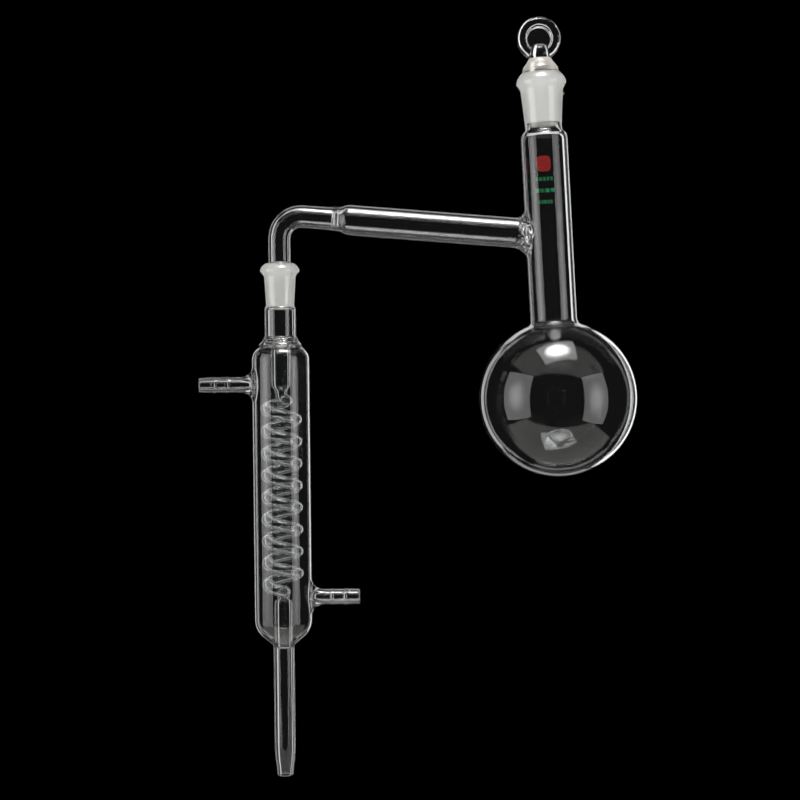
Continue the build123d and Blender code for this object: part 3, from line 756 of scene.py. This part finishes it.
vapour_outside = chain(
    taper((coil_r, coil_top), (vapour_r, taper_top)), straight(vapour_r, taper_top, under_z, 6)
)
vapour_inside = chain(
    straight(vapour_bore, under_z, taper_top, 6), taper((vapour_bore, taper_top), (coil_bore, coil_top))
)
vapour_walls = lathe(
    upright,
    (vapour_outside, CLEAR),
    seam(vapour_r, vapour_bore, under_z),
    (vapour_inside, CLEAR),
    seam(coil_bore, coil_r, coil_top),
)
blow("vapour_tube", vapour_walls, "condenser")
drain_outside = chain(
    straight(drain_r, inner_foot_z, drain_shoulder, 6),
    taper((drain_r, drain_shoulder), (coil_r, coil_foot)),
)
drain_inside = chain(
    taper((coil_bore, coil_foot), (drain_bore, drain_shoulder)),
    straight(drain_bore, drain_shoulder, foot_z, 8),
)
drain_walls = lathe(
    upright,
    seam(drain_bore, drain_r, foot_z),
    (straight(drain_r, foot_z, inner_foot_z), WELD),
    (drain_outside, CLEAR),
    seam(coil_r, coil_bore, coil_foot),
    (drain_inside, CLEAR),
)
blow("drain_tube", drain_walls, "condenser")


def swept(path, radius, around=32):
    """A round tube along a path in millimetres: at each point, a circle in the two
    directions that X and Y take when Z is turned the shortest way onto the path."""
    ahead = np.gradient(path, axis=0)
    x, y, z = (ahead / np.linalg.norm(ahead, axis=1)[:, None]).T
    first = np.stack([1 - x * x / (1 + z), -x * y / (1 + z), -x], -1)
    second = np.stack([-x * y / (1 + z), 1 - y * y / (1 + z), -y], -1)
    turn = np.linspace(0, 2 * pi, around + 1)[None, :, None]
    return MM * (path[:, None] + radius * (np.cos(turn) * first[:, None] + np.sin(turn) * second[:, None]))


def swept_tube(path, outside, bore):
    """A tube along a path: its outside wall, its bore and both welded ends."""
    wall, hollow = swept(path, outside), swept(path, bore)
    return [
        (wall, CLEAR),
        (hollow[::-1], CLEAR),
        (np.stack([hollow[0], wall[0]]), WELD),
        (np.stack([wall[-1], hollow[-1]]), WELD),
    ]


coil_mean_r = jacket_bore - coil_clearance - coil_r
coil_bend = coil_r + coil_bend_gap
slope = atan2(coil_pitch, 2 * pi * coil_mean_r)
arc_out = coil_bend * (1 - sin(slope))
curl_r = (coil_mean_r**2 - arc_out**2) / (2 * coil_mean_r)
curl_turn = 180 - degrees(atan2(arc_out, curl_r))
curl_drop = coil_pitch * curl_r / coil_mean_r * curl_turn / 360
helix_top = coil_top - coil_bend * cos(slope) - curl_drop
helix_foot = coil_foot + coil_bend * cos(slope) + curl_drop
end_angle = coil_start + 360 * (helix_top - helix_foot) / coil_pitch


def helix(angles, radius, heights, count, centre_out=0.0, centre_angle=0.0):
    """Even points of a helix between two angles in degrees and two heights, round an
    upright axis that stands centre_out away at centre_angle."""
    angles = np.radians(np.linspace(*angles, count))
    away = centre_out * np.array([cos(radians(centre_angle)), sin(radians(centre_angle))])
    heights = np.linspace(*heights, count)
    return np.stack([away[0] + radius * np.cos(angles), away[1] + radius * np.sin(angles), heights], 1)


def end_arc(angle_out, height, way, steps=10):
    """The quarter bend at a coil's end, from the axis outwards: the distance out grows as
    one minus the cosine, the height goes its way as the sine."""
    bend = np.linspace(0, pi / 2 - slope, steps + 1)
    out = coil_bend * (1 - np.cos(bend))
    place = [out * cos(angle_out), out * sin(angle_out), height + way * coil_bend * np.sin(bend)]
    return np.stack(place, 1)




def curl(angles, heights, at):
    """The narrower turn at a coil's end, which touches the coil at an angle and the axis."""
    return helix(angles, curl_r, heights, curl_steps, coil_mean_r - curl_r, at)


upper_curl = curl((coil_start, coil_start - curl_turn), (helix_top, helix_top + curl_drop), coil_start)
lower_curl = curl((end_angle + curl_turn, end_angle), (helix_foot - curl_drop, helix_foot), end_angle)
coil_path = chain(
    end_arc(atan2(lower_curl[0, 1], lower_curl[0, 0]), coil_foot, 1),
    lower_curl,
    helix((end_angle, coil_start), coil_mean_r, (helix_foot, helix_top), coil_steps),
    upper_curl,
    end_arc(atan2(upper_curl[-1, 1], upper_curl[-1, 0]), coil_top, -1)[::-1],
)
blow("coil", swept_tube(coil_path, coil_r, coil_bore), "condenser")

# ---- Arm cone: the flask's ground cone, which carries the condenser in its socket.
# Its outside is ground with the socket and is as matt.
joint_gap, cone_foot, elbow_od, elbow_wall = 0.03, 0.6, 12.0, 1.3
elbow_r, elbow_bore = elbow_od / 2, elbow_od / 2 - elbow_wall
cone_low, cone_top = node_heights("arm_cone")
band_low = cone_low + cone_foot
band_high = band_low + small_joint_length
cone_wide = small_joint_od / 2 - joint_gap
cone_narrow = cone_wide - ground_taper / 2 * small_joint_length
foot_pulls = ((elbow_bore + 0.2, cone_low - 0.02), (cone_narrow - 0.1, cone_low))
neck_pulls = ((cone_wide, band_high + 0.9), (elbow_r, cone_top - 0.7))
cone_walls = lathe(
    upright,
    (bezier((elbow_bore, cone_low), *foot_pulls, (cone_narrow, band_low), 8), CLEAR),
    (line((cone_narrow, band_low), (cone_wide, band_high), 24), GROUND),
    (bezier((cone_wide, band_high), *neck_pulls, (elbow_r, cone_top), 8), CLEAR),
    seam(elbow_r, elbow_bore, cone_top),
    (straight(elbow_bore, cone_top, cone_low, 8), CLEAR),
)
blow("arm_cone", cone_walls, "flask")

# ---- Elbow tube: the narrow tube bent in the flame from the side arm down into the cone.
# Its straight leg is welded to the cone, and its other end to the wider side arm.
arm_rise, elbow_above_cone, elbow_bend, elbow_reach = 4.95, 25.4, 12.0, 28.5
arm_tilt = radians(arm_rise)
arm_along = np.array([cos(arm_tilt), 0, -sin(arm_tilt)])
elbow_corner = np.array([0, 0, cone_top + elbow_above_cone])
bend_angle = 90 + arm_rise
bend_tangent = elbow_bend * tan(radians(bend_angle) / 2)
bend_turns = np.radians(np.linspace(180, 180 - bend_angle, 33))
bend_centre = elbow_corner + np.array([elbow_bend, 0, -bend_tangent])
bend_path = bend_centre + elbow_bend * np.stack([np.cos(bend_turns), 0 * bend_turns, np.sin(bend_turns)], 1)
elbow_path = chain(
    line((0, 0, cone_top), bend_path[0], 8),
    bend_path,
    line(bend_path[-1], elbow_corner + arm_along * elbow_reach, 8),
)
blow("elbow_tube", swept_tube(elbow_path, elbow_r, elbow_bore), "flask")

# ---- Elbow weld: the butt weld of the elbow to the wider side arm, two soft uneven beads
# and a flare. It was worked by hand, so the beads are not quite true.
weld_bead, weld_pitch, weld_flare, bead_apart, weld_uneven = 0.75, 3.0, 6.0, 2.0, 0.25
arm_od, arm_wall, arm_span, arm_root_length, arm_root_flare = 16.2, 1.5, 146.1, 24.0, 5.0
arm_r, arm_bore = arm_od / 2, arm_od / 2 - arm_wall
arm_axes = (elbow_corner * MM, (0, -1, 0), np.array([sin(arm_tilt), 0, cos(arm_tilt)]), arm_along)
weld_low, weld_high = elbow_reach, elbow_reach + weld_pitch + weld_flare


def uneven_weld(steps=60):
    """The weld's outside: a smooth step from elbow to arm, with two bell-shaped beads on
    it, and a small wave by sines of angle and height that fades out at both ends."""
    height = np.linspace(weld_low, weld_high, steps + 1)
    share = np.clip((height - weld_low - weld_pitch) / weld_flare, 0, 1)
    radius = elbow_r + (arm_r - elbow_r) * share**2 * (3 - 2 * share)
    bead = weld_low + weld_pitch * 0.35
    first, second = (height - bead) / 0.55, (height - bead - bead_apart) / 0.6
    radius += weld_bead * (np.exp(-(first**2)) + 0.9 * np.exp(-(second**2)))
    fade = np.sin(pi * (height - weld_low) / (weld_high - weld_low))[:, None] ** 0.5
    wave = np.sin(3 * all_round[None] + 1.1 * height[:, None]) * np.sin(2 * all_round[None] + 0.7)
    return on_tube(arm_axes, radius[:, None] + weld_uneven * fade * wave, all_round[None], height[:, None])


weld_bore = chain(
    straight(elbow_bore, weld_low, weld_low + weld_pitch, 4),
    taper((elbow_bore, weld_low + weld_pitch), (arm_bore, weld_high), 12),
)
weld_walls = lathe(
    arm_axes,
    seam(arm_r, arm_bore, weld_high),
    (weld_bore[::-1], CLEAR),
    seam(elbow_bore, elbow_r, weld_low),
)
blow("elbow_weld", [(uneven_weld(), CLEAR)] + weld_walls, "flask")

# ---- Side arm: a straight tube from the elbow weld to the neck, where its root is flared
# and fused over a port blown in the neck's wall. The flame leaves lumps round the root.
neck_od, neck_wall, arm_height, stub_top, neck_top, root_lump = 25.1, 1.6, 88.0, 48.5, 139.5, 1.3
arm_port_columns, arm_port_height = 15, 16.5
root_start = arm_span - arm_root_length
blow("side_arm_tube", plain_tube(arm_axes, arm_r, arm_bore, weld_high, root_start, 24), "flask")
neck_r, neck_bore = neck_od / 2, neck_od / 2 - neck_wall
joints = {joint["name"]: joint for joint in frame["record"]["behaviour"]["joints"]}
lift_axis = joints["stopper_lift"]["axis"]
neck_along = np.array(lift_axis) / np.linalg.norm(lift_axis)
neck_across = np.array([neck_along[2], 0, -neck_along[0]])
bulb_centre = elbow_corner + arm_along * arm_span - neck_along * arm_height
neck_axes = (bulb_centre * MM, -neck_across, (0, -1, 0), neck_along)
arm_lean = asin(float(np.dot(-arm_along, neck_along)))
root_ball = sqrt((neck_r + arm_root_flare) ** 2 - (arm_r + arm_root_flare) ** 2)
arm_lift = neck_r * tan(arm_lean)
arm_port = (0.0, arm_height + arm_lift, arm_port_columns, arm_port_height)
neck_out_wall, (neck_border,) = ported_wall(neck_axes, neck_r, stub_top, neck_top, [arm_port])
neck_in_wall, (neck_in_border,) = ported_wall(neck_axes, neck_bore, stub_top, neck_top, [arm_port])
turn = round_port(neck_border, neck_r)
root = footprint(turn, atan2(arm_r + arm_root_flare, root_ball), arm_r + arm_root_flare)


def arm_hole(radius):
    """The loop, as angles and heights from the port's middle, where the arm's bore cuts
    through the neck's wall at this radius."""
    return edge_of(radius, arm_bore, turn, arm_lean) - np.array([0, arm_lift])


hole, hole_inside = arm_hole(neck_r), arm_hole(neck_bore)
hole_rim = at_port(neck_axes, neck_r, arm_port, hole)
inner_rim = at_port(neck_axes, neck_bore, arm_port, hole_inside)
flare_start = arm_span - neck_r - arm_root_flare
rim = turned([(arm_r, flare_start)], arm_axes, turn)[0]
bore_rim = turned([(arm_bore, root_start)], arm_axes, turn)[0]
arm_weld = (between(neck_axes, neck_r, arm_port, root, hole, 6), WELD)
root_patches = [
    *lathe(arm_axes, (straight(arm_r, root_start, flare_start, 4), CLEAR), turns=turn),
    (flared(neck_axes, neck_r, arm_port, root, rim, -arm_along, 24, root_lump), CLEAR),
    arm_weld,
    (ruled(hole_rim, bore_rim, 8), CLEAR),
    *lathe(arm_axes, seam(arm_bore, arm_r, root_start), turns=turn),
]
blow("side_arm_root", root_patches, "flask")

# ---- Neck tube: the flask's long plain neck, open to the side arm through its port.
# It is drawn tube, welded to the bulb's stub below and to the ground socket above.
neck_patches = [
    neck_out_wall,
    (between(neck_axes, neck_r, arm_port, neck_border, root, 6), CLEAR),
    arm_weld,
    (ruled(hole_rim, inner_rim, 2), CLEAR),
    (between(neck_axes, neck_bore, arm_port, neck_in_border, hole_inside, 10), CLEAR),
    neck_in_wall,
    *lathe(
        neck_axes,
        seam(neck_r, neck_bore, neck_top),
        seam(neck_r, neck_bore, stub_top),
    ),
]
blow("neck_tube", neck_patches, "flask")

# ---- Bulb: the round body, free-blown, with a short stub that meets the neck in a soft root.
# Its wall is even, so that it can be heated on every side without cracking.
bulb_od, bulb_wall, bulb_fillet = 85.0, 1.9, 3.0
bulb_r = bulb_od / 2


def bulb_outline(ball_r, tube_r, fillet):
    """A ball from its bottom pole up to a rolling-ball fillet and the stub's wall: the
    fillet's centre stands a fillet's width off both the ball and the tube."""
    out = tube_r + fillet
    height = sqrt((ball_r + fillet) ** 2 - out**2)
    meet = degrees(atan2(height, out))
    return chain(
        arc((0, 0), ball_r, -90, meet, 96),
        arc((out, height), fillet, 180 + meet, 180, 10),
        straight(tube_r, height, stub_top, 2),
    )


bulb_walls = lathe(
    neck_axes,
    (bulb_outline(bulb_r, neck_r, bulb_fillet), CLEAR),
    seam(neck_r, neck_bore, stub_top),
    (bulb_outline(bulb_r - bulb_wall, neck_bore, bulb_fillet + bulb_wall), CLEAR),
)
blow("bulb", bulb_walls, "flask")

# ---- Neck socket: the ground socket that takes the stopper, with a bead at its mouth and
# a small pip under the bead, left where a glass rod was pulled off.
large_joint_od, large_joint_length, large_shoulder, large_throat = 18.8, 26.0, 7.0, 8.9
large_walls, large_rim_proud, large_rim_height, pip_r = (1.8, 2.4), 2.0, 9.7, 0.9
large_socket = socket_walls(
    neck_axes, (neck_top, neck_r, neck_bore), large_shoulder, large_throat,
    large_joint_od, large_joint_length, large_walls, large_rim_proud, large_rim_height,
)
blow("neck_socket", large_socket, "flask")
large_low = neck_top + large_throat
large_high = large_low + large_joint_length
large_narrow = large_joint_od / 2 - ground_taper / 2 * large_joint_length
pip_h = large_high + mouth_lip - large_rim_height - 2 * pip_r
pip_out = large_narrow + ground_taper / 2 * (pip_h - large_low) + large_walls[1]
pip_foot = (bulb_centre + neck_along * pip_h + neck_across * pip_out) * MM
pip_axes = (pip_foot, (0, -1, 0), neck_along, neck_across)
pip_outline = [
    (0.85, 0.02), (0.8, 0.2), (0.72, 0.38), (0.66, 0.52), (0.62, 0.66),
    (0.55, 0.76), (0.42, 0.84), (0.24, 0.88), (0, 0.9),
]
pip = joined("neck_pip", lathe(pip_axes, (pip_outline, CLEAR), (line((0, 0.02), (0.85, 0.02)), CLEAR)))
settle(pip, "neck_socket", "flask")

# ---- Enamel: fired on the back of the neck, one red mark and three lines of green print.
# Here the mark is a plain rounded square and the lines are rows of plain dashes.
enamel_clear, enamel_thickness, badge_h, badge_half, dash_gap = 0.01, 0.11, 128.0, 4.2, 0.7
bar_widths, dash_height, bar_top, bar_spacing = (11.0, 12.5, 9.0), 2.0, 119.7, 6.3
enamel_axes = (bulb_centre * MM, neck_across, (0, 1, 0), neck_along)


def enamel_paint(name, colour, deep):
    """Fired enamel: an even colour that thins and darkens in small blotches."""
    material, tree, shader = new_material(name, {})
    blotch = put(tree, "TexNoise", {"Scale": 900.0, "Detail": 4.0})
    ramp = two_tone(tree, (0.35, deep), (0.6, colour))
    gloss = put(tree, "MapRange", {"To Min": 0.3, "To Max": 0.5})
    wire(
        tree,
        (put(tree, "TexCoord"), "Object", blotch, "Vector"),
        (blotch, "Fac", ramp, "Fac"),
        (ramp, "Color", shader, "Base Color"),
        (blotch, "Fac", gloss, "Value"),
        (gloss, "Result", shader, "Roughness"),
    )
    return material


def enamel_patch(widths, heights, height_at):
    """A closed patch of enamel on the neck's back: widths and heights are grids of places,
    wrapped round the neck as width over radius, once on the glass and once proud of it."""
    turns = pi / 2 + widths / neck_r
    low = on_tube(enamel_axes, neck_r + enamel_clear, turns, heights + height_at)
    high = on_tube(enamel_axes, neck_r + enamel_thickness, turns, heights + height_at)
    edges = [(low[0], high[0]), (low[-1], high[-1]), (low[:, 0], high[:, 0]), (low[:, -1], high[:, -1])]
    return [(grid, 0) for grid in [low, high] + [np.stack(edge) for edge in edges]]


def dash(width, height, across):
    """The grids of a rectangular dash at a place across."""
    widths = np.linspace(-width / 2, width / 2, 7) + across
    return np.meshgrid(widths, np.linspace(-height / 2, height / 2, 3))


def rounded_square(half, steps=48):
    """The grids of a rounded square: radii by angles all the way round, each divided by
    the fourth root of the fourth powers of its sine and cosine added up."""
    radius, angle = np.meshgrid(np.linspace(0.02, half, 6), np.linspace(0, 2 * pi, steps + 1))
    radius = radius / (np.cos(angle) ** 4 + np.sin(angle) ** 4) ** 0.25
    return radius * np.cos(angle), radius * np.sin(angle)


red = enamel_paint("red_enamel", (0.85, 0.03, 0.02, 1), (0.6, 0.02, 0.015, 1))
green = enamel_paint("green_enamel", (0.02, 0.50, 0.18, 1), (0.015, 0.32, 0.11, 1))
badge = joined("enamel_badge_mark", enamel_patch(*rounded_square(badge_half), badge_h), [red])
settle(badge, "enamel_badge", "flask")
dashes = []
for row, width in enumerate(bar_widths):
    count = 5 - row % 2
    each = width / count
    for number in range(count):
        middle_x = (number + 0.5) * each - width / 2
        dashes += enamel_patch(*dash(each - dash_gap, dash_height, middle_x), bar_top - row * bar_spacing)
settle(joined("enamel_dashes", dashes, [green]), "enamel_bars", "flask")

# ---- Stopper: pressed solid glass, a ground plug under a waist, a dome and a penny head.
# The plug is ground to the socket; the head keeps the press's rounded edges and recess.
plug_foot, plug_proud = 1.0, 0.7
shoulder_h, waist_od, waist_h, dome_h = 2.4, 11.6, 8.6, 15.0
head_od, head_thickness, head_middle, rim_round, recess_od, recess_depth = 23.4, 6.0, 17.5, 2.0, 14.6, 1.2
plug_top = large_high + mouth_lip + plug_proud
plug_low = large_low - plug_foot
plug_wide = large_joint_od / 2 - joint_gap
plug_narrow = plug_wide - ground_taper / 2 * large_joint_length
plug_foot_r = plug_narrow - plug_foot
edge_pulls = ((plug_narrow - 0.4, plug_low), (plug_narrow - 0.05, large_low - 0.5))
plug_top_weld = seam(plug_wide, 0, plug_top, 4)
plug_walls = lathe(
    neck_axes,
    (line((0, plug_low), (plug_foot_r, plug_low), 4), CLEAR),
    (bezier((plug_foot_r, plug_low), *edge_pulls, (plug_narrow, large_low), 6), CLEAR),
    (line((plug_narrow, large_low), (plug_wide, large_high), 24), GROUND),
    (straight(plug_wide, large_high, plug_top, 2), CLEAR),
    plug_top_weld,
)
blow("stopper_plug", plug_walls, "stopper")
shoulder_r, waist_r = large_joint_od / 2 + 0.3, waist_od / 2
edge_low, edge_high = (shoulder_r - 0.25, plug_top), (shoulder_r, plug_top + 0.3)
brow = (shoulder_r - 0.2, plug_top + shoulder_h - 0.7)
brow_pulls = ((shoulder_r - 0.5, plug_top + shoulder_h + 0.5), (waist_r + 0.9, plug_top + waist_h - 3.6))
dome_foot, waist_point = (waist_r + 0.25, plug_top + waist_h - 1.6), (waist_r, plug_top + waist_h)
dome_pulls = ((waist_r, plug_top + dome_h - 1), (waist_r / 2, plug_top + dome_h))
waist_pulls = ((waist_r + 0.1, plug_top + waist_h - 1), (waist_r, plug_top + waist_h - 0.6))
shoulder_outline = chain(
    line((plug_wide, plug_top), edge_low),
    bezier(edge_low, (shoulder_r, plug_top), (shoulder_r, plug_top), edge_high, 4),
    line(edge_high, brow, 2),
    bezier(brow, *brow_pulls, dome_foot, 16),
)
dome_outline = chain(
    bezier(dome_foot, *waist_pulls, waist_point, 6),
    bezier(waist_point, *dome_pulls, (0, plug_top + dome_h), 24),
)
half, recess_r, flat_r = head_thickness / 2, recess_od / 2, head_od / 2 - rim_round
recess_z = half - recess_depth
recess_pulls = ((recess_r - 0.3, recess_z), (recess_r - 0.5, half))
recess = chain(
    line((0, recess_z), (recess_r - 1.2, recess_z), 6),
    bezier((recess_r - 1.2, recess_z), *recess_pulls, (recess_r + 0.4, half), 10),
    line((recess_r + 0.4, half), (flat_r, half), 3),
    arc((flat_r, half - rim_round), rim_round, 90, 0, 10),
)
penny_outline = chain(recess, line(recess[-1], recess[-1] * (1, -1), 2), recess[::-1] * (1, -1))
penny_middle = (bulb_centre + neck_along * (plug_top + head_middle)) * MM
penny_axes = (penny_middle, neck_across, neck_along, (0, -1, 0))
head_walls = lathe(neck_axes, (shoulder_outline, SATIN), (dome_outline, PRESSED), plug_top_weld)
head = joined("stopper_head_glass", head_walls)
penny = joined("penny_for_union", lathe(penny_axes, (penny_outline, PRESSED)))
union = head.modifiers.new("penny", "BOOLEAN")
union.operation, union.solver, union.object = "UNION", "EXACT", penny
head_mesh = bpy.data.meshes.new_from_object(head.evaluated_get(bpy.context.evaluated_depsgraph_get()))
head.modifiers.clear()
head.data = head_mesh
bpy.data.objects.remove(penny)
head_mesh.shade_smooth()
head_mesh.set_sharp_from_angle(angle=radians(50))
settle(head, "stopper_head", "stopper")
